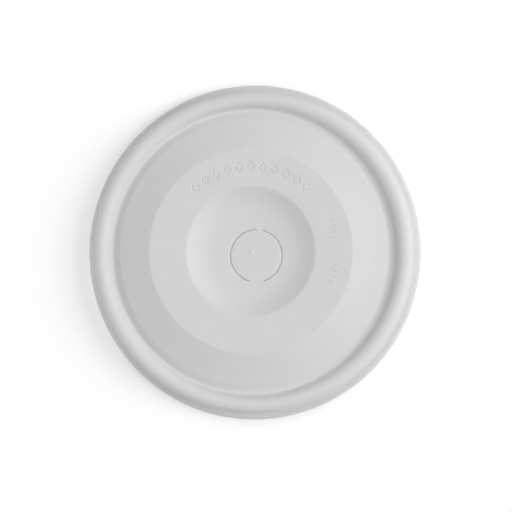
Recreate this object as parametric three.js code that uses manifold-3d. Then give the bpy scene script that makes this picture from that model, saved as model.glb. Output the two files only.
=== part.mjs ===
// A takeaway cup lid pressed from plant fibre, in one piece, with a push-in straw flap.
// Millimetres, +Z up. The lid stands on the underside of its lip, at z = 0, and its axis is the Z axis.
// The flap's hinge is towards -Y.

import * as THREE from 'three';
import { mergeVertices } from 'three/addons/utils/BufferGeometryUtils.js';
import Module from 'manifold-3d';

// The cup that the lid fits
const cupRimDiameter = 89.2;
const rimClearance = 0.1;

// The pressed wall
const wall = 0.7;
const tightestRound = 0.25;

// The bead, which is a channel underneath that takes the rolled rim of the cup
const channelWidth = 3.15;
const beadHeight = 7.0;
const beadInnerAngle = 62;
const beadInnerRound = 1.9;
const beadOuterRound = 2.3;
const skirtUndercut = 0.2;

// The lip round the foot of the skirt
const lipWidth = 1.85;
const lipDrop = 0.25;
const lipCreaseRound = 0.45;

// The groove inside the bead, which plugs the mouth of the cup
const grooveDepth = 3.45;
const grooveRound = 0.9;
const footWidth = 2.4;
const footRound = 1.0;

// The raised crown, a flat ring on a shallow cone
const crownHeight = 8.3;
const crownRadius = 28.7;
const crownRound = 0.8;
const coneAngle = 20;

// The dish in the middle of the crown
const dishRadius = 18.2;
const dishFloorRadius = 7.9;
const dishDepth = 2.5;
const dishEdgeRound = 0.4;

// The straw flap, a disc cut round with a narrow slit that leaves a hinge and a holding nib
const flapRadius = 7.45;
const flapCentreX = 1.3;
const flapCentreY = -1.2;
const slitWidth = 0.15;
const slitOvercut = 0.35;
const hingeAngle = 271;
const hingeSpan = 32;
const nibAngle = 82;
const nibSpan = 15;

// The small pip on the axis of the lid
const pipRadius = 0.95;
const pipHeight = 0.25;

// How finely round forms are cut into flats
const turnSteps = 84;
const flatness = 0.035;
const slitSteps = 20;
const pipRings = 3;
const pipSteps = 16;

const fullTurn = 360;
const radians = THREE.MathUtils.degToRad;

// A corner of the section: its distance from the axis, its height and the radius that it is rounded to.
function corner(radius, height, round = 0) {
  return { at: new THREE.Vector2(radius, height), round };
}

function directions(run) {
  return run.slice(1).map((next, i) => next.at.clone().sub(run[i].at).normalize());
}

// Where two lines cross, each given by a point and a direction.
function crossing(pointA, alongA, pointB, alongB) {
  const between = pointB.clone().sub(pointA);
  const reach = between.cross(alongB) / alongA.cross(alongB);
  return pointA.clone().addScaledVector(alongA, reach);
}

// The other face of a wall: each stretch of the run is moved square to itself, down or inwards,
// and the roundings stay concentric.
function otherFace(run, thickness) {
  const along = directions(run);
  const moved = along.map((d, i) => run[i].at.clone().add(new THREE.Vector2(d.y, -d.x).multiplyScalar(thickness)));
  return run.map((here, i) => {
    if (i === 0) return corner(moved[0].x, moved[0].y);
    if (i === along.length) {
      const last = along[i - 1];
      return corner(here.at.x + last.y * thickness, here.at.y - last.x * thickness);
    }
    const turn = along[i - 1].cross(along[i]);
    const round = here.round + Math.sign(turn) * thickness;
    const at = crossing(moved[i - 1], along[i - 1], moved[i], along[i]);
    return { at, round: Math.max(round, tightestRound) };
  });
}

// The points of a run with its corners rounded. Where two roundings would meet, both give way.
function roundedPoints(run) {
  const along = directions(run);
  const lengths = along.map((d, i) => run[i + 1].at.distanceTo(run[i].at));
  const turns = run.map((here, i) => {
    if (i === 0 || i === along.length) return 0;
    return Math.atan2(along[i - 1].cross(along[i]), along[i - 1].dot(along[i]));
  });
  const wanted = run.map((here, i) => here.round * Math.tan(Math.abs(turns[i]) / 2));
  const room = lengths.map((length, i) => Math.min(1, length / (wanted[i] + wanted[i + 1] + Number.EPSILON)));
  return run.flatMap((here, i) => {
    if (wanted[i] === 0) return [here.at.clone()];
    const share = Math.min(room[i - 1], room[i]);
    const reach = wanted[i] * share;
    const radius = here.round * share;
    const start = here.at.clone().addScaledVector(along[i - 1], -reach);
    const side = new THREE.Vector2(-along[i - 1].y, along[i - 1].x).multiplyScalar(Math.sign(turns[i]));
    const centre = start.clone().addScaledVector(side, radius);
    const widestStep = 2 * Math.acos(1 - Math.min(1, flatness / radius));
    const steps = Math.max(1, Math.ceil(Math.abs(turns[i]) / widestStep));
    return Array.from({ length: steps + 1 }, (_, k) => start.clone().rotateAround(centre, (turns[i] * k) / steps));
  });
}

// Sizes of the section that follow from the ones above
const skirtRadius = cupRimDiameter / 2 + rimClearance + wall;
const lipRadius = skirtRadius + lipWidth;
const lipTop = wall + lipDrop;
const grooveFloor = beadHeight - grooveDepth;
const beadInnerRadius = skirtRadius - 2 * wall - channelWidth;
const beadSlopeWidth = grooveDepth / Math.tan(radians(beadInnerAngle));
const grooveRadius = beadInnerRadius - beadSlopeWidth / 2;
const footRadius = grooveRadius - footWidth;
const coneDrop = (footRadius - crownRadius) * Math.tan(radians(coneAngle));
const dishFloor = crownHeight - dishDepth;
const dishWidth = dishRadius - dishFloorRadius;
const dishRound = (dishWidth ** 2 + dishDepth ** 2) / (2 * dishDepth);
const dishCornerRadius = dishFloorRadius + dishRound * Math.tan(Math.asin(dishWidth / dishRound) / 2);

// The face that shows, from the axis out to the crease between skirt and lip, then the lip's edge.
function topRun() {
  return [
    corner(0, dishFloor),
    corner(dishCornerRadius, dishFloor, dishRound),
    corner(dishRadius, crownHeight, dishEdgeRound),
    corner(crownRadius, crownHeight, crownRound),
    corner(footRadius, crownHeight - coneDrop, footRound),
    corner(grooveRadius, grooveFloor, grooveRound),
    corner(grooveRadius + beadSlopeWidth, beadHeight, beadInnerRound),
    corner(skirtRadius, beadHeight, beadOuterRound),
    corner(skirtRadius - skirtUndercut, lipTop, lipCreaseRound),
    corner(lipRadius, wall),
  ];
}

// The underside keeps the wall's thickness, and its last stretch is the flat foot of the lip.
function undersideRun() {
  const run = otherFace(topRun(), wall).slice(0, -1);
  const crease = run.pop();
  const above = run[run.length - 1];
  const down = crease.at.clone().sub(above.at);
  const foot = crossing(above.at, down, new THREE.Vector2(0, 0), new THREE.Vector2(1, 0));
  return [...run, { at: foot, round: crease.round }, corner(lipRadius, 0)];
}

// The bare shell, one section turned about the axis.
function shellGeometry() {
  const section = [...roundedPoints(undersideRun()), ...roundedPoints(topRun()).reverse()];
  return new THREE.LatheGeometry(section, turnSteps).rotateX(Math.PI / 2);
}

// The pip is a shallow cap whose foot is sunk to the middle of the wall.
function pipGeometry() {
  const foot = dishFloor - wall / 2;
  const cap = Array.from({ length: pipRings + 1 }, (_, k) => {
    const share = 1 - k / pipRings;
    return new THREE.Vector2(pipRadius * share, dishFloor + pipHeight * (1 - share ** 2));
  });
  const section = [new THREE.Vector2(0, foot), new THREE.Vector2(pipRadius, foot), ...cap];
  return new THREE.LatheGeometry(section, pipSteps).rotateX(Math.PI / 2);
}

// One stretch of the slit, cut straight down through the floor of the dish between two angles in degrees.
function slitGeometry(fromAngle, toAngle) {
  const from = radians(fromAngle);
  const to = radians(toAngle);
  const outline = new THREE.Shape();
  outline.absarc(0, 0, flapRadius + slitWidth / 2, from, to, false);
  outline.absarc(0, 0, flapRadius - slitWidth / 2, to, from, true);
  outline.closePath();
  const depth = wall + 2 * slitOvercut;
  const cutter = new THREE.ExtrudeGeometry(outline, { depth, bevelEnabled: false, curveSegments: slitSteps });
  return cutter.translate(flapCentreX, flapCentreY, dishFloor - wall - slitOvercut);
}

const wasm = await Module();
wasm.setup();

// A closed geometry as a solid, once its shared corners are merged and its empty triangles dropped.
function solidOf(geometry) {
  const bare = geometry.clone().deleteAttribute('normal').deleteAttribute('uv');
  const merged = mergeVertices(bare);
  const index = merged.getIndex().array;
  const triangles = [];
  for (let i = 0; i < index.length; i += 3) {
    const [a, b, c] = index.slice(i, i + 3);
    if (a !== b && b !== c && c !== a) triangles.push(a, b, c);
  }
  return new wasm.Manifold(new wasm.Mesh({
    numProp: 3,
    vertProperties: merged.getAttribute('position').array,
    triVerts: new Uint32Array(triangles),
  }));
}

function geometryOf(solid) {
  const { vertProperties, triVerts } = solid.getMesh();
  const geometry = new THREE.BufferGeometry();
  geometry.setAttribute('position', new THREE.BufferAttribute(vertProperties, 3));
  geometry.setIndex(new THREE.BufferAttribute(triVerts, 1));
  geometry.computeVertexNormals();
  return geometry;
}

// The lid: the shell with its pip, cut by the two slits between the nib and the hinge.
function lidGeometry() {
  const nibStart = nibAngle - nibSpan / 2;
  const nibEnd = nibAngle + nibSpan / 2;
  const hingeStart = hingeAngle - hingeSpan / 2;
  const hingeEnd = hingeAngle + hingeSpan / 2;
  const leftSlit = solidOf(slitGeometry(nibEnd, hingeStart));
  const rightSlit = solidOf(slitGeometry(hingeEnd - fullTurn, nibStart));
  const shell = solidOf(shellGeometry()).add(solidOf(pipGeometry()));
  return geometryOf(shell.subtract(leftSlit).subtract(rightSlit));
}

const pressedFibre = new THREE.MeshStandardMaterial({ color: 0xd8d8d8, roughness: 0.9, metalness: 0 });

const lid = new THREE.Mesh(lidGeometry(), pressedFibre);
lid.name = 'lid';

const strawSlotLid = new THREE.Group();
strawSlotLid.name = 'straw_slot_cup_lid';
strawSlotLid.add(lid);

export default strawSlotLid;
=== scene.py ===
# A takeaway cup lid pressed from plant fibre, with a small studio round it.
# The section of the lid is drawn as straight and round stretches and spun about the Z axis, once for the
# face that shows and once for the underside. The floor of the dish is a disc about the straw flap's own
# centre, so that the slit follows its rings. Both faces are joined at the lip and round the slit.
# Marks, waver and small flaws are pressed into the finished mesh. All sizes are in metres.

import math

import bmesh
import bpy
from bpy.props import FloatProperty, FloatVectorProperty, IntProperty, PointerProperty
from bpy.types import Operator, Panel, PropertyGroup
from mathutils import Matrix, Vector, noise


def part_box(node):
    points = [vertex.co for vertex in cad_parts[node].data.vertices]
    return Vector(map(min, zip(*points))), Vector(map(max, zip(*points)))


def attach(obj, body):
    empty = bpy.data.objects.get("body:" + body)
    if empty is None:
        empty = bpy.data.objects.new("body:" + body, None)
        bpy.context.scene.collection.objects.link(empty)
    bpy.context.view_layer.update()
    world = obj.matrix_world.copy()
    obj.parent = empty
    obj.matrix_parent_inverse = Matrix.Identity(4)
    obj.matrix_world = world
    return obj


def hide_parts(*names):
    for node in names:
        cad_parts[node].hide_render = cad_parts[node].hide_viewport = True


bl_info = {
    "name": "Pressed Fibre Cup Lid",
    "version": (1, 0, 0),
    "blender": (4, 5, 0),
    "location": "3D View > Sidebar > Cup Lid",
    "description": "Models a takeaway cup lid pressed from plant fibre, and a small studio round it",
    "category": "Add Mesh",
}

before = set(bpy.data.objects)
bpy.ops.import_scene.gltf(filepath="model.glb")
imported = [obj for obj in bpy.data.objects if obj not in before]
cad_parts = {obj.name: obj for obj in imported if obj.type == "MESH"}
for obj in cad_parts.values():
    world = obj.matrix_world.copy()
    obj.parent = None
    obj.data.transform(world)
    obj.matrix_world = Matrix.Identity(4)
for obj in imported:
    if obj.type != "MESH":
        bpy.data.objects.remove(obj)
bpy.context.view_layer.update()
LID_LOW, LID_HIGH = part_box("lid")
MM = 0.001
FULL_TURN = 2 * math.pi

# Vertices closer than this are one
SAME_PLACE = 1e-6

# A rounding takes at least this many steps
FEWEST_ARC_STEPS = 2

# Side of the photograph in pixels
PHOTO_SIDE = 512

WHITE = (1, 1, 1, 1)

# The mix node's sockets for colours, which share their names with others
MIX_FIRST, MIX_SECOND, MIX_RESULT = 6, 7, 2

# The lamps: name, azimuth and elevation in degrees, strength. Each is as wide as its spread in degrees
SOFTBOX_SPREAD = 30
SOFTBOXES = (
    ("overhead", 0, 90, 0.620),
    ("front_high", 270, 52, 0.507),
    ("back_high", 90, 52, 0.695),
    ("back_left", 135, 52, 0.112),
    ("front_right", 315, 52, 0.383),
    ("right_middle", 0, 30, 1.258),
    ("back_right", 45, 30, 0.283),
    ("front_left", 225, 30, 0.162),
    ("right_low", 0, 12, 0.636),
    ("back_right_low", 45, 12, 0.210),
    ("left_low", 180, 12, 0.736),
)

# Bearings in degrees of the pressed bars on the right of the flat ring
BAR_BEARINGS = (21, 17, 13, 9, -9, -13, -17, -21)

# Small flaws of the rim. Nicks in the edge of the lip: bearing in degrees, width and depth in millimetres
NICKS = ((50.2, 0.7, 0.25), (44.2, 0.7, 0.3), (42.3, 0.9, 0.2), (13.0, 0.8, 0.15), (-13.4, 0.8, 0.15))

# Dents in the bead: bearing in degrees, then radius, reach and depth in millimetres
DENTS = ((216.3, 43.6, 1.6, 0.15), (49.3, 44.2, 1.0, 0.08))


def length(name, description, millimetres):
    """A property for a length, in metres, whose default is given in millimetres."""
    metres = millimetres * MM
    return FloatProperty(name=name, description=description, default=metres, unit="LENGTH", precision=5)


def angle(name, description, degrees):
    """A property for an angle, in radians, whose default is given in degrees."""
    return FloatProperty(name=name, description=description, default=math.radians(degrees), subtype="ANGLE")


def number(name, description, value):
    """A property for a plain number."""
    return FloatProperty(name=name, description=description, default=value)


def count(name, description, value):
    """A property for a whole number."""
    return IntProperty(name=name, description=description, default=value)


class LidSizes(PropertyGroup):
    """Sizes of the pressed section, from the lip in to the dish."""

    wall: length("Wall", "Thickness of the pressed fibre", 0.7)
    tightest_round: length("Tightest rounding", "The sharpest inner rounding that the press gives", 0.25)
    skirt_radius: length("Skirt radius", "Outer radius of the skirt at the bead", 45.4)
    lip_height: length("Lip height", "Height of the top of the lip at the skirt", 1.15)
    lip_drop: length("Lip drop", "How far the top of the lip falls towards its edge", 0.1)
    lip_round: length("Lip rounding", "Rounding of the lip's edge", 0.8)
    lip_edge: length("Lip edge", "Height of the upright part of the lip's edge", 0.1)
    crease_round: length("Crease rounding", "Rounding between the skirt and the lip", 0.45)
    undercut: length("Undercut", "How far the skirt leans in under the bead", 0.2)
    bead_height: length("Bead height", "Height of the top of the bead", 6.1)
    bead_outer_round: length("Bead outer rounding", "Rounding from the bead into the skirt", 2.3)
    bead_inner_round: length("Bead inner rounding", "Rounding from the bead into the groove", 2.3)
    bead_inner_angle: angle("Bead inner angle", "Slope of the wall between groove and bead", 56)
    channel_width: length("Channel width", "Room under the bead for the rim of the cup", 3.08)
    groove_depth: length("Groove depth", "Depth of the groove below the bead", 2.55)
    groove_round: length("Groove rounding", "Rounding in the bottom of the groove", 0.7)
    foot_width: length("Foot width", "Width of the steeper foot of the cone", 2.4)
    foot_round: length("Foot rounding", "Rounding between cone and foot", 1.0)
    cone_angle: angle("Cone angle", "Slope of the cone", 20)
    crown_radius: length("Crown radius", "Outer radius of the flat ring", 28.7)
    crown_round: length("Crown rounding", "Rounding between the flat ring and the cone", 0.8)
    dish_radius: length("Dish radius", "Inner radius of the flat ring", 18.25)
    dish_floor_radius: length("Dish floor radius", "Radius of the flat floor of the dish", 9.75)
    dish_slope: angle("Dish slope", "Slope of the dish at its edge", 27.2)
    dish_depth: length("Dish depth", "Depth of the dish below the flat ring", 2.5)
    dish_edge_round: length("Dish edge rounding", "Rounding at the edge of the dish", 1.8)


class FlapSizes(PropertyGroup):
    """Sizes of the straw flap and of the pip on the lid's axis."""

    radius: length("Flap radius", "Radius of the slit round the flap", 7.35)
    centre_x: length("Flap centre X", "The flap's centre, to the right of the axis", 1.3)
    centre_y: length("Flap centre Y", "The flap's centre, behind the axis", -1.2)
    slit_width: length("Slit width", "Width of the slit", 0.07)
    outer_shoulder: length("Outer shoulder", "Width of the pressed-in edge outside the slit", 0.3)
    inner_shoulder: length("Inner shoulder", "Width of the pressed-in edge of the flap", 0.6)
    slit_sink: length("Slit sink", "How deep the edges of the slit are pressed in", 0.2)
    hinge_angle: angle("Hinge angle", "Direction of the uncut hinge", 271)
    hinge_span: angle("Hinge span", "Width of the uncut hinge", 32)
    nib_angle: angle("Nib angle", "Direction of the holding nib", 82)
    nib_span: angle("Nib span", "Width of the holding nib", 15)
    pip_radius: length("Pip radius", "Radius of the pip", 0.95)
    pip_height: length("Pip height", "Height of the pip", 0.25)


class MarkSizes(PropertyGroup):
    """Sizes of the plain marks pressed into the flat ring: lozenges at the back, bars on the right."""

    circle_radius: length("Mark circle", "Distance of the marks from the axis", 23.8)
    lozenge_count: count("Lozenges", "Number of lozenges in the arc", 11)
    arc_start: angle("Arc start", "Bearing of the first lozenge", 49)
    arc_end: angle("Arc end", "Bearing of the last lozenge", 131)
    lozenge_width: length("Lozenge width", "Width of a lozenge along the circle", 2.0)
    lozenge_height: length("Lozenge height", "Height of a lozenge across the circle", 2.7)
    bar_height: length("Bar height", "Height of a bar across the circle", 1.6)
    stroke: length("Stroke", "Width of a pressed line", 0.5)
    depth: length("Depth", "Depth of a pressed line", 0.19)
    margin: length("Margin", "Room round the marks in which the mesh is finer", 0.3)
    cuts: count("Cuts", "Cuts of each mesh edge under the marks", 4)


class PressWaver(PropertyGroup):
    """How far the pressing wavers from its true form."""

    reach: length("Waver", "How far the sheet wavers", 0.07)
    wavelength: length("Wavelength", "Distance over which it wavers", 14)
    seed: count("Seed", "Number of the pattern in which it wavers, from one up", 1)


class MeshDetail(PropertyGroup):
    """How finely the lid is divided."""

    turn_steps: count("Turn steps", "Steps in one turn of the section", 360)
    arc_step: angle("Arc step", "Widest step along a rounding", 9)
    top_step: length("Upper step", "Longest straight step on the face that shows", 0.8)
    under_step: length("Underside step", "Longest straight step on the underside", 1.6)
    pip_rings: count("Pip rings", "Rings of the flap's mesh across the pip", 12)
    flap_rings: count("Flap rings", "Rings of the flap's mesh beyond the pip", 4)
    shoulder_rings: count("Shoulder rings", "Rings in a shoulder of the slit", 3)


class FibreLook(PropertyGroup):
    """The finish of the pressed fibre: its colour, a faint mottle and a fine felted grain."""

    colour: FloatVectorProperty(
        name="Colour", description="Base colour of the fibre", default=(0.63, 0.63, 0.63), subtype="COLOR")
    roughness: number("Roughness", "Roughness of the fibre", 0.9)
    specular: number("Specular", "Strength of the plain reflection", 0.25)
    mottle_scale: number("Mottle scale", "Patches of the mottle to the metre", 260)
    mottle_detail: number("Mottle detail", "Octaves of the mottle", 4)
    mottle_deep: number("Mottle deep", "Share of the colour in the darkest patches", 0.975)
    mottle_pale: number("Mottle pale", "Share of the colour in the palest patches", 1.02)
    grain_scale: number("Grain scale", "Grains to the metre", 2200)
    grain_detail: number("Grain detail", "Octaves of the grain", 3)
    grain_share: number("Grain share", "Share of the grain in the relief, against the mottle", 0.6)
    relief: number("Relief", "Strength of the relief", 0.25)
    relief_depth: length("Relief depth", "Depth of the relief", 0.05)


class StageLook(PropertyGroup):
    """The studio: floor, lamps and camera."""

    floor_size: length("Floor size", "Side of the floor", 2400)
    floor_shade: number("Floor shade", "Grey of the floor in the light that it throws back", 0.95)
    camera_distance: length("Distance", "Camera to lid", 700)
    camera_lean: angle("Camera lean", "How far the camera stands off the lid's axis", 7.4)
    camera_bearing: angle("Camera bearing", "The side to which the camera stands off", -14.6)
    pixels_per_mm: number("Pixels per mm", "Scale of the picture at the lid", 3.53)
    centre_x: number("Centre X", "Picture column of the lid's foot centre", 253.97)
    centre_y: number("Centre Y", "Picture row of the lid's foot centre", 252.25)


def cross(first, second):
    """The cross product of two directions in the XZ plane."""
    return first.x * second.z - first.z * second.x


def draw_straight(bm, start, end, step):
    """A straight stretch from the vertex start to the place end, in steps no longer than step."""
    begin = start.co.copy()
    pieces = max(1, math.ceil((end - begin).length / step))
    last = start
    for i in range(1, pieces + 1):
        following = bm.verts.new(begin.lerp(end, i / pieces))
        bm.edges.new((last, following))
        last = following
    return last


def draw_section(bm, corners, step, arc_step):
    """The corners, each (radius, height, rounding), joined by straight stretches, with the roundings spun."""
    places = [Vector((radius, 0, height)) for radius, height, rounding in corners]
    last = bm.verts.new(places[0])
    roundings = [rounding for radius, height, rounding in corners]
    for before, here, after, rounding in zip(places, places[1:], places[2:], roundings[1:]):
        along = (here - before).normalized()
        onward = (after - here).normalized()
        turn = math.atan2(cross(along, onward), along.dot(onward))
        start = here - along * rounding * math.tan(abs(turn) / 2)
        last = draw_straight(bm, last, start, step)
        side = Vector((-along.z, 0, along.x)) * math.copysign(rounding, turn)
        steps = max(FEWEST_ARC_STEPS, math.ceil(abs(turn) / arc_step))
        spun = bmesh.ops.spin(
            bm, geom=[last], cent=start + side, axis=(0, -1, 0), angle=turn, steps=steps, use_merge=False)
        last = spun["geom_last"][0]
    draw_straight(bm, last, places[-1], step)


def top_corners(sizes):
    """Corners of the face that shows, from the flat floor of the dish out to the foot of the lip's edge."""
    height = LID_HIGH.z
    lip_radius = LID_HIGH.x
    slope_width = sizes.groove_depth / math.tan(sizes.bead_inner_angle)
    bead_inner_radius = sizes.skirt_radius - 2 * sizes.wall - sizes.channel_width
    groove_radius = bead_inner_radius - slope_width / 2
    foot_radius = groove_radius - sizes.foot_width
    foot_height = height - (foot_radius - sizes.crown_radius) * math.tan(sizes.cone_angle)
    floor = height - sizes.dish_depth
    dish_corner = sizes.dish_radius - sizes.dish_depth / math.tan(sizes.dish_slope)
    dish_round = (dish_corner - sizes.dish_floor_radius) / math.tan(sizes.dish_slope / 2)
    return [
        (sizes.dish_floor_radius, floor, 0),
        (dish_corner, floor, dish_round),
        (sizes.dish_radius, height, sizes.dish_edge_round),
        (sizes.crown_radius, height, sizes.crown_round),
        (foot_radius, foot_height, sizes.foot_round),
        (groove_radius, sizes.bead_height - sizes.groove_depth, sizes.groove_round),
        (groove_radius + slope_width, sizes.bead_height, sizes.bead_inner_round),
        (sizes.skirt_radius, sizes.bead_height, sizes.bead_outer_round),
        (sizes.skirt_radius - sizes.undercut, sizes.lip_height, sizes.crease_round),
        (lip_radius, sizes.lip_height - sizes.lip_drop, sizes.lip_round),
        (lip_radius, sizes.lip_edge, 0),
    ]


def crossing(start_a, along_a, start_b, along_b):
    """Where two lines in the XZ plane meet."""
    between = start_b - start_a
    reach = cross(between, along_b) / cross(along_a, along_b)
    return start_a + along_a * reach


def under_corners(corners, wall, tightest):
    """Corners of the underside: each stretch moved in by the wall, the roundings concentric, a flat foot."""
    places = [Vector((radius, 0, height)) for radius, height, rounding in corners[:-1]]
    along = [(b - a).normalized() for a, b in zip(places, places[1:])]
    along[-1] = Vector((1, 0, 0))
    moved = [place + Vector((d.z, 0, -d.x)) * wall for place, d in zip(places, along)]
    moved[-1] = Vector((places[-1].x, 0, LID_LOW.z))
    result = [(places[0].x, places[0].z - wall, 0)]
    for i in range(1, len(along)):
        meet = crossing(moved[i - 1], along[i - 1], moved[i], along[i])
        rounding = max(corners[i][2] + math.copysign(wall, cross(along[i - 1], along[i])), tightest)
        result.append((meet.x, meet.z, rounding))
    return result + [(places[-1].x, LID_LOW.z, 0)]


def boundary_edges(bm):
    """The edges with a face on one side only."""
    return [edge for edge in bm.edges if edge.is_boundary]


def spin_round(bm, centre, steps):
    """Spins all that is in the mesh once about an upright axis, and closes the seam and the pole."""
    bmesh.ops.spin(
        bm, geom=bm.verts[:] + bm.edges[:], cent=centre, axis=(0, 0, 1), angle=FULL_TURN, steps=steps,
        use_merge=True)
    bmesh.ops.remove_doubles(bm, verts=bm.verts[:], dist=SAME_PLACE)


def spaced(start, end, count):
    """Values after start up to end, evenly spaced."""
    return [start + (end - start) * i / count for i in range(1, count + 1)]


def flap_rings(flap, detail):
    """Radii of the rings of the flap, from its centre to past the slit: closer where the pip and slit are."""
    inner = flap.radius - flap.slit_width / 2
    outer = flap.radius + flap.slit_width / 2
    pip_distance = math.hypot(flap.centre_x, flap.centre_y)
    pip_from, pip_to = pip_distance - flap.pip_radius, pip_distance + flap.pip_radius
    rings = [0, pip_from / 2, pip_from]
    rings += spaced(pip_from, pip_to, detail.pip_rings)
    rings += spaced(pip_to, inner - flap.inner_shoulder, detail.flap_rings)
    rings += spaced(inner - flap.inner_shoulder, inner, detail.shoulder_rings)
    rings += [outer] + spaced(outer, outer + flap.outer_shoulder, detail.shoulder_rings)
    return rings


def floor_disc(flap, detail, height):
    """The floor round the flap's own centre, with its ring of slit faces cut out but for hinge and nib."""
    bm = bmesh.new()
    rings = flap_rings(flap, detail)
    verts = [bm.verts.new((flap.centre_x + radius, flap.centre_y, height)) for radius in rings]
    for pair in zip(verts, verts[1:]):
        bm.edges.new(pair)
    centre = Vector((flap.centre_x, flap.centre_y, height))
    spin_round(bm, centre, detail.turn_steps)
    cut = []
    for face in bm.faces:
        offset = face.calc_center_median() - centre
        in_ring = abs(offset.length - flap.radius) < flap.slit_width / 4
        bearing = math.atan2(offset.y, offset.x)
        if in_ring and is_slit(flap, bearing):
            cut.append(face)
    bmesh.ops.delete(bm, geom=cut, context="FACES")
    return bm


def is_slit(flap, bearing):
    """Whether the slit runs at this bearing from the flap's centre, and not the hinge or the nib."""
    def apart(direction):
        return abs(math.remainder(bearing - direction, FULL_TURN))
    return apart(flap.hinge_angle) > flap.hinge_span / 2 and apart(flap.nib_angle) > flap.nib_span / 2


def append(bm, other):
    """Adds the mesh other to bm and frees it."""
    mesh = bpy.data.meshes.new("part")
    other.to_mesh(mesh)
    other.free()
    bm.from_mesh(mesh)
    bpy.data.meshes.remove(mesh)


def circle_loop(bm, centre, radius):
    """The boundary edges whose ends lie at this radius from centre, in plan."""
    def near(vert):
        return abs((vert.co.xy - centre).length - radius) < SAME_PLACE
    return [edge for edge in boundary_edges(bm) if near(edge.verts[0]) and near(edge.verts[1])]


def wall_face(corners, flap, detail, step):
    """One face of the wall: the spun section joined to the floor round the flap."""
    bm = bmesh.new()
    draw_section(bm, corners, step, detail.arc_step)
    spin_round(bm, (0, 0, 0), detail.turn_steps)
    start_radius, height = corners[0][:2]
    append(bm, floor_disc(flap, detail, height))
    hole = circle_loop(bm, Vector((0, 0)), start_radius)
    disc_radius = flap_rings(flap, detail)[-1]
    rim = circle_loop(bm, Vector((flap.centre_x, flap.centre_y)), disc_radius)
    bmesh.ops.bridge_loops(bm, edges=hole + rim)
    return bm


def smoothstep(value):
    """A soft step from zero to one, level at both ends."""
    value = min(1.0, max(0.0, value))
    return value * value * (3 - 2 * value)


def raise_pip(bm, flap):
    """The pip on the lid's axis, a low mound on the floor of the dish."""
    for vert in bm.verts:
        distance = vert.co.xy.length / flap.pip_radius
        vert.co.z += flap.pip_height * smoothstep(1 - distance)


def drop_edges(bm, wall):
    """Draws the open edges, at the lip and round the slits, down through the wall to meet the underside."""
    drawn = bmesh.ops.extrude_edge_only(bm, edges=boundary_edges(bm))
    for item in drawn["geom"]:
        if isinstance(item, bmesh.types.BMVert):
            item.co.z = max(LID_LOW.z, item.co.z - wall)


def press_slit(bm, flap):
    """The edges of the slit, pressed a little into the sheet."""
    centre = Vector((flap.centre_x, flap.centre_y))
    for vert in bm.verts:
        offset = vert.co.xy - centre
        beyond = offset.length - flap.radius
        shoulder = flap.outer_shoulder if beyond > 0 else flap.inner_shoulder
        gap = abs(beyond) - flap.slit_width / 2
        if gap < shoulder and is_slit(flap, math.atan2(offset.y, offset.x)):
            vert.co.z -= flap.slit_sink * (1 - gap / shoulder) ** 2


def mark_centres(marks):
    """Bearing of each mark, and whether it is a lozenge or a bar."""
    gap = (marks.arc_end - marks.arc_start) / (marks.lozenge_count - 1)
    lozenges = [(marks.arc_start + gap * i, True) for i in range(marks.lozenge_count)]
    return lozenges + [(math.radians(bearing), False) for bearing in BAR_BEARINGS]


def mark_depth(marks, place, bearing, is_lozenge):
    """How deep one mark presses this place of the flat ring."""
    out = Vector((math.cos(bearing), math.sin(bearing)))
    across = abs(place.x * out.y - place.y * out.x)
    along = abs(place.dot(out) - marks.circle_radius)
    if is_lozenge:
        slopes = Vector((2 / marks.lozenge_width, 2 / marks.lozenge_height))
        distance = abs(slopes.dot((across, along)) - 1) / slopes.length
    else:
        distance = math.hypot(across, max(0, along - marks.bar_height / 2))
    return marks.depth * smoothstep(1 - 2 * distance / marks.stroke)


def press_marks(bm, marks):
    """Presses the marks into the flat ring, in a finer mesh."""
    reach = marks.lozenge_height / 2 + marks.margin
    centres = mark_centres(marks)
    turn = (marks.lozenge_width / 2 + marks.margin) / marks.circle_radius

    def marks_near(place):
        if abs(place.length - marks.circle_radius) > reach:
            return []
        here = math.atan2(place.y, place.x)
        return [centre for centre in centres if abs(math.remainder(here - centre[0], FULL_TURN)) < turn]

    faces = [face for face in bm.faces if marks_near(face.calc_center_median().xy)]
    # A dict keeps the edges in the order of their faces, which a set would not
    edges = dict.fromkeys(edge for face in faces for edge in face.edges)
    bmesh.ops.subdivide_edges(bm, edges=list(edges), cuts=marks.cuts, use_grid_fill=True)
    for vert in bm.verts:
        place = vert.co.xy
        depths = [mark_depth(marks, place, *centre) for centre in marks_near(place)]
        vert.co.z -= max(depths, default=0)


def waver(bm, press):
    """Lets the sheet waver a little, both of its faces alike, and never out of its true box."""
    # Without a seed Blender takes one from the clock, and each run wavers in its own way
    noise.seed_set(press.seed)
    for vert in bm.verts:
        share = (vert.co.z - LID_LOW.z) / (LID_HIGH.z - LID_LOW.z)
        drift = noise.noise_vector(Vector((*vert.co.xy, 0)) / press.wavelength) * press.reach
        vert.co.xy += drift.xy * share
        vert.co.z -= abs(drift.z) * share


def at_bearing(degrees, radius):
    """The place at this bearing and this distance from the axis, in plan."""
    return Matrix.Rotation(math.radians(degrees), 2) @ Vector((radius, 0))


def mar_rim(bm):
    """The nicks in the edge of the lip and the dents in the bead."""
    nicks = [(at_bearing(bearing, LID_HIGH.x), width * MM, depth * MM) for bearing, width, depth in NICKS]
    dents = [(at_bearing(bearing, radius * MM), reach * MM, depth * MM)
             for bearing, radius, reach, depth in DENTS]
    for vert in bm.verts:
        for place, width, depth in nicks:
            near = (vert.co.xy - place).length
            vert.co.xy -= vert.co.xy.normalized() * depth * smoothstep(1 - near / width)
        for place, reach, depth in dents:
            near = (vert.co.xy - place).length
            vert.co.z -= depth * smoothstep(1 - near / reach)


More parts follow.
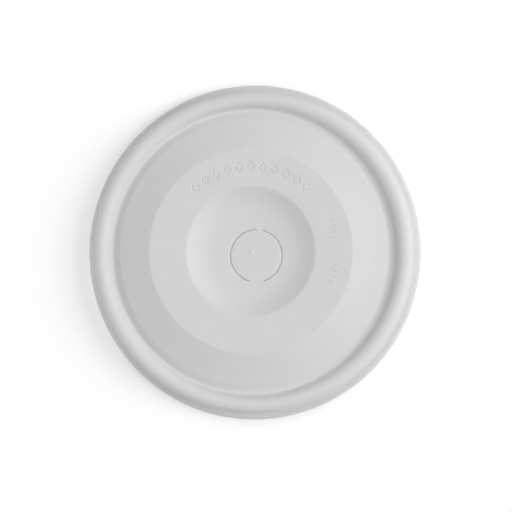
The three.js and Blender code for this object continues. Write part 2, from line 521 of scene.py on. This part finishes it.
def lid_mesh(sizes, flap, marks, press, detail):
    """The whole lid as one closed mesh."""
    corners = top_corners(sizes)
    under = under_corners(corners, sizes.wall, sizes.tightest_round)
    bm = wall_face(corners, flap, detail, detail.top_step)
    raise_pip(bm, flap)
    press_marks(bm, marks)
    drop_edges(bm, sizes.wall)
    append(bm, wall_face(under, flap, detail, detail.under_step))
    bmesh.ops.remove_doubles(bm, verts=bm.verts[:], dist=SAME_PLACE)
    press_slit(bm, flap)
    waver(bm, press)
    mar_rim(bm)
    bmesh.ops.recalc_face_normals(bm, faces=bm.faces[:])
    return bm


def add_piece(name, bm, material):
    """Makes an object of a finished mesh, smooth, that rides with the lid's body."""
    mesh = bpy.data.meshes.new(name)
    bm.to_mesh(mesh)
    bm.free()
    mesh.materials.append(material)
    mesh.shade_smooth()
    piece = bpy.data.objects.new(name, mesh)
    bpy.context.scene.collection.objects.link(piece)
    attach(piece, "root")
    return piece


class NodeMaker:
    """Makes the nodes of one material or world."""

    def __init__(self, tree):
        self.tree = tree
        tree.nodes.clear()

    def make(self, kind, settings=None, sockets=None):
        """A node of that kind. Settings are set first, then sockets take a value or a link."""
        node = self.tree.nodes.new(kind)
        for name, value in (settings or {}).items():
            setattr(node, name, value)
        for key, value in (sockets or {}).items():
            self.feed(node.inputs[key], value)
        return node

    def feed(self, socket, value):
        """Links a socket or a Value to the node's socket, or writes a plain value into it."""
        if isinstance(value, Value):
            value = value.socket
        if isinstance(value, bpy.types.NodeSocket):
            self.tree.links.new(value, socket)
        else:
            socket.default_value = value


class Value:
    """A number that varies over the surface, so that shader maths reads as an expression."""

    def __init__(self, maker, socket):
        self.maker = maker
        self.socket = socket

    def maths(self, operation, other):
        """The result of one operation on this value and another, or on this value and a plain number."""
        node = self.maker.make("ShaderNodeMath", {"operation": operation}, {0: self, 1: other})
        return Value(self.maker, node.outputs[0])

    def at_most(self, limit):
        """This value, or the limit where it is larger."""
        return self.maths("MINIMUM", limit)

    def __add__(self, other):
        return self.maths("ADD", other)

    __radd__ = __add__

    def __mul__(self, other):
        return self.maths("MULTIPLY", other)

    __rmul__ = __mul__


def noise_value(maker, place, scale, detail):
    """Noise from zero to one over these coordinates."""
    node = maker.make("ShaderNodeTexNoise", None, {"Vector": place, "Scale": scale, "Detail": detail})
    return Value(maker, node.outputs["Fac"])


def shaded(colour, share):
    """The colour times a share, with its alpha."""
    return (*(part * share for part in colour), 1)


def pressed_fibre(look):
    """Matt pale fibre with a faint mottle and a fine felted grain."""
    material = bpy.data.materials.new("pressed_fibre")
    material.use_nodes = True
    maker = NodeMaker(material.node_tree)
    place = maker.make("ShaderNodeTexCoord").outputs["Object"]
    mottle = noise_value(maker, place, look.mottle_scale, look.mottle_detail)
    grain = noise_value(maker, place, look.grain_scale, look.grain_detail)
    tint = maker.make("ShaderNodeMix", {"data_type": "RGBA"}, {
        "Factor": mottle,
        MIX_FIRST: shaded(look.colour, look.mottle_deep),
        MIX_SECOND: shaded(look.colour, look.mottle_pale),
    })
    bump = maker.make("ShaderNodeBump", None, {
        "Strength": look.relief,
        "Distance": look.relief_depth,
        "Height": look.grain_share * grain + (1 - look.grain_share) * mottle,
    })
    shader = maker.make("ShaderNodeBsdfPrincipled", None, {
        "Base Color": tint.outputs[MIX_RESULT],
        "Roughness": look.roughness,
        "Specular IOR Level": look.specular,
        "Normal": bump.outputs["Normal"],
    })
    maker.make("ShaderNodeOutputMaterial", None, {"Surface": shader.outputs[0]})
    return material


def seen_directly(maker):
    """One where a ray comes straight from the camera, or by way of a mirror or glass."""
    path = maker.make("ShaderNodeLightPath")
    camera = Value(maker, path.outputs["Is Camera Ray"])
    glossy = Value(maker, path.outputs["Is Glossy Ray"])
    through = Value(maker, path.outputs["Is Transmission Ray"])
    return (camera + glossy + through).at_most(1)


def floor_material(shade):
    """White where it is seen, and this grey where it throws light back on the lid."""
    material = bpy.data.materials.new("pale_floor")
    material.use_nodes = True
    maker = NodeMaker(material.node_tree)
    colour = maker.make("ShaderNodeMix", {"data_type": "RGBA"}, {
        "Factor": seen_directly(maker), MIX_FIRST: (shade, shade, shade, 1), MIX_SECOND: WHITE})
    shader = maker.make("ShaderNodeBsdfDiffuse", None, {"Color": colour.outputs[MIX_RESULT]})
    maker.make("ShaderNodeOutputMaterial", None, {"Surface": shader.outputs[0]})
    return material


def plain_world():
    """A world that is white where it is seen and gives no light."""
    world = bpy.data.worlds.new("studio")
    world.use_nodes = True
    maker = NodeMaker(world.node_tree)
    background = maker.make("ShaderNodeBackground", None, {"Color": WHITE, "Strength": seen_directly(maker)})
    maker.make("ShaderNodeOutputWorld", None, {"Surface": background.outputs[0]})
    bpy.context.scene.world = world


def add_floor(size, shade):
    """The floor on which the lid rests."""
    bm = bmesh.new()
    bmesh.ops.create_grid(bm, x_segments=1, y_segments=1, size=size / 2)
    bmesh.ops.translate(bm, verts=bm.verts[:], vec=(0, 0, LID_LOW.z))
    mesh = bpy.data.meshes.new("floor")
    bm.to_mesh(mesh)
    bm.free()
    mesh.materials.append(floor_material(shade))
    floor = bpy.data.objects.new("floor", mesh)
    bpy.context.scene.collection.objects.link(floor)
    return floor


def add_softbox(name, azimuth, elevation, spread, strength):
    """A wide even lamp, far off, at an azimuth from +X and an elevation, all in degrees."""
    lamp = bpy.data.lights.new(name, "SUN")
    lamp.angle = math.radians(spread)
    lamp.energy = strength
    lamp_object = bpy.data.objects.new(name, lamp)
    around, up = math.radians(azimuth), math.radians(elevation)
    towards = Vector((math.cos(up) * math.cos(around), math.cos(up) * math.sin(around), math.sin(up)))
    lamp_object.rotation_euler = towards.to_track_quat("Z", "Y").to_euler()
    bpy.context.scene.collection.objects.link(lamp_object)
    return lamp_object


def add_camera(stage):
    """A camera over the lid that leans towards its bearing, with +Y up in the picture."""
    lean, bearing = stage.camera_lean, stage.camera_bearing
    back = Vector((math.sin(lean) * math.cos(bearing), math.sin(lean) * math.sin(bearing), math.cos(lean)))
    right = Vector((0, 1, 0)).cross(back).normalized()
    up = back.cross(right)
    pixel = MM / stage.pixels_per_mm
    across = (PHOTO_SIDE / 2 - stage.centre_x) * pixel
    down = (PHOTO_SIDE / 2 - stage.centre_y) * pixel
    target = right * across - up * down
    camera = bpy.data.cameras.new("camera")
    camera.angle = 2 * math.atan(PHOTO_SIDE / 2 * pixel / stage.camera_distance)
    camera_object = bpy.data.objects.new("camera", camera)
    turn = Matrix((right, up, back)).transposed()
    camera_object.matrix_world = Matrix.Translation(target + back * stage.camera_distance) @ turn.to_4x4()
    bpy.context.scene.collection.objects.link(camera_object)
    bpy.context.scene.camera = camera_object
    return camera_object


class LID_OT_add_lid(Operator):
    """Model the pressed lid with its straw flap"""

    bl_idname = "mesh.add_pressed_lid"
    bl_label = "Add Pressed Lid"

    def execute(self, context):
        scene = context.scene
        bm = lid_mesh(
            scene.lid_sizes, scene.flap_sizes, scene.mark_sizes, scene.press_waver, scene.mesh_detail)
        lid = add_piece("pressed_lid", bm, pressed_fibre(scene.fibre_look))
        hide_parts("lid")
        return {"FINISHED"}


class LID_OT_add_stage(Operator):
    """Set up the floor, the lamps and the camera"""

    bl_idname = "mesh.add_lid_stage"
    bl_label = "Add Stage"

    def execute(self, context):
        stage = context.scene.stage_look
        add_floor(stage.floor_size, stage.floor_shade)
        for name, azimuth, elevation, strength in SOFTBOXES:
            add_softbox(name, azimuth, elevation, SOFTBOX_SPREAD, strength)
        plain_world()
        add_camera(stage)
        context.scene.view_settings.view_transform = "Standard"
        return {"FINISHED"}


class LID_PT_panel(Panel):
    """The lid's operators in the 3D view's sidebar"""

    bl_idname = "LID_PT_panel"
    bl_label = "Cup Lid"
    bl_space_type = "VIEW_3D"
    bl_region_type = "UI"
    bl_category = "Cup Lid"

    def draw(self, context):
        for operator in OPERATORS:
            self.layout.operator(operator.bl_idname)


GROUPS = {
    "lid_sizes": LidSizes,
    "flap_sizes": FlapSizes,
    "mark_sizes": MarkSizes,
    "press_waver": PressWaver,
    "mesh_detail": MeshDetail,
    "fibre_look": FibreLook,
    "stage_look": StageLook,
}
OPERATORS = (LID_OT_add_lid, LID_OT_add_stage)
CLASSES = (*GROUPS.values(), *OPERATORS, LID_PT_panel)


def register():
    for kind in CLASSES:
        bpy.utils.register_class(kind)
    for name, group in GROUPS.items():
        setattr(bpy.types.Scene, name, PointerProperty(type=group))


def unregister():
    for name in GROUPS:
        delattr(bpy.types.Scene, name)
    for kind in reversed(CLASSES):
        bpy.utils.unregister_class(kind)


def main():
    register()
    bpy.ops.mesh.add_pressed_lid()
    bpy.ops.mesh.add_lid_stage()


if __name__ == "__main__":
    main()
